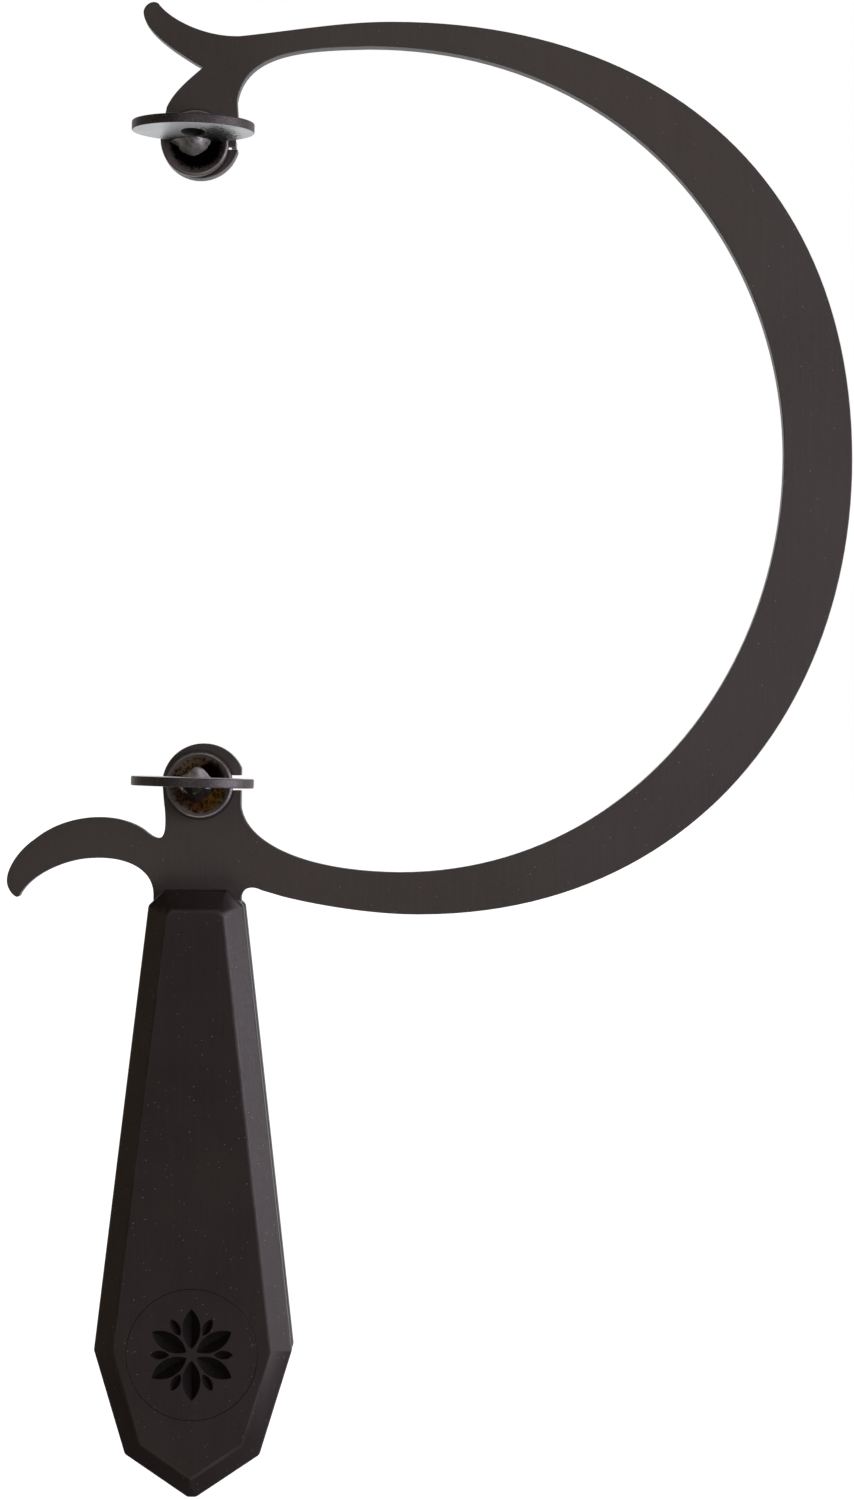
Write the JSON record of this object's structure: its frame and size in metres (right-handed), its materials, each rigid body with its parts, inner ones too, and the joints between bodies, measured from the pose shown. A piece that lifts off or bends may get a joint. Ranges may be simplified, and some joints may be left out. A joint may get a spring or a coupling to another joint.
{
  "type": "saw bow frame",
  "caption": "Crescent-shaped steel bow frame of a hand saw, with thumb-disc clamp screws at its open side, a finger hook and a bevelled coffin-shaped grip.",
  "frame": {"origin": "middle of the grip's length, on the line between the two clamp screws, halfway through the steel plate", "axes": "+Z along the blade line from the grip to the upper clamp, +X across the frame towards the bow, -Y out of the face that the thumb discs stand on"},
  "size_m": [0.165, 0.038, 0.291],
  "materials": {
    "frame_steel": "satin brownish black oxide on flat steel plate",
    "grip_black": "matte black, finely speckled",
    "clamp_steel": "blued steel with a heat tint near the weld",
    "weld_metal": "bright rippled weld bead",
    "fastener_steel": "black oxide",
    "insert_brass": "plain turned brass"
  },
  "bodies": {
    "frame": {"bow_frame": "frame_steel", "front_scale": "grip_black", "back_scale": "grip_black", "medallion": "grip_black", "grip_screws": "fastener_steel", "grip_inserts": "insert_brass", "locating_dowels": "fastener_steel", "upper_back_nut": "clamp_steel", "lower_back_nut": "clamp_steel"},
    "upper_washer": {"upper_pressure_washer": "clamp_steel"},
    "upper_screw": {"upper_clamp_screw": "clamp_steel", "upper_thumb_disc": "clamp_steel", "upper_weld": "weld_metal", "upper_retaining_clip": "fastener_steel"},
    "lower_washer": {"lower_pressure_washer": "clamp_steel"},
    "lower_screw": {"lower_clamp_screw": "clamp_steel", "lower_thumb_disc": "clamp_steel", "lower_weld": "weld_metal", "lower_retaining_clip": "fastener_steel"}
  },
  "joints": [
    {"name": "upper_washer_lift", "type": "slide", "parent": "frame", "child": "upper_washer", "axis": [0, -1, 0], "range_m": [0, 0.002]},
    {"name": "upper_screw_turn", "type": "hinge", "parent": "upper_washer", "child": "upper_screw", "pos_m": [-0.0008, 0, 0.205], "axis": [0, -1, 0], "range_deg": [0, 720]},
    {"name": "lower_washer_lift", "type": "slide", "parent": "frame", "child": "lower_washer", "axis": [0, -1, 0], "range_m": [0, 0.002]},
    {"name": "lower_screw_turn", "type": "hinge", "parent": "lower_washer", "child": "lower_screw", "pos_m": [0, 0, 0.08], "axis": [0, -1, 0], "range_deg": [0, 720]}
  ],
  "couplings": [
    {"joint": "upper_washer_lift", "follows": "upper_screw_turn", "m_per_rad": 0.00015915},
    {"joint": "lower_washer_lift", "follows": "lower_screw_turn", "m_per_rad": 0.00015915}
  ]
}
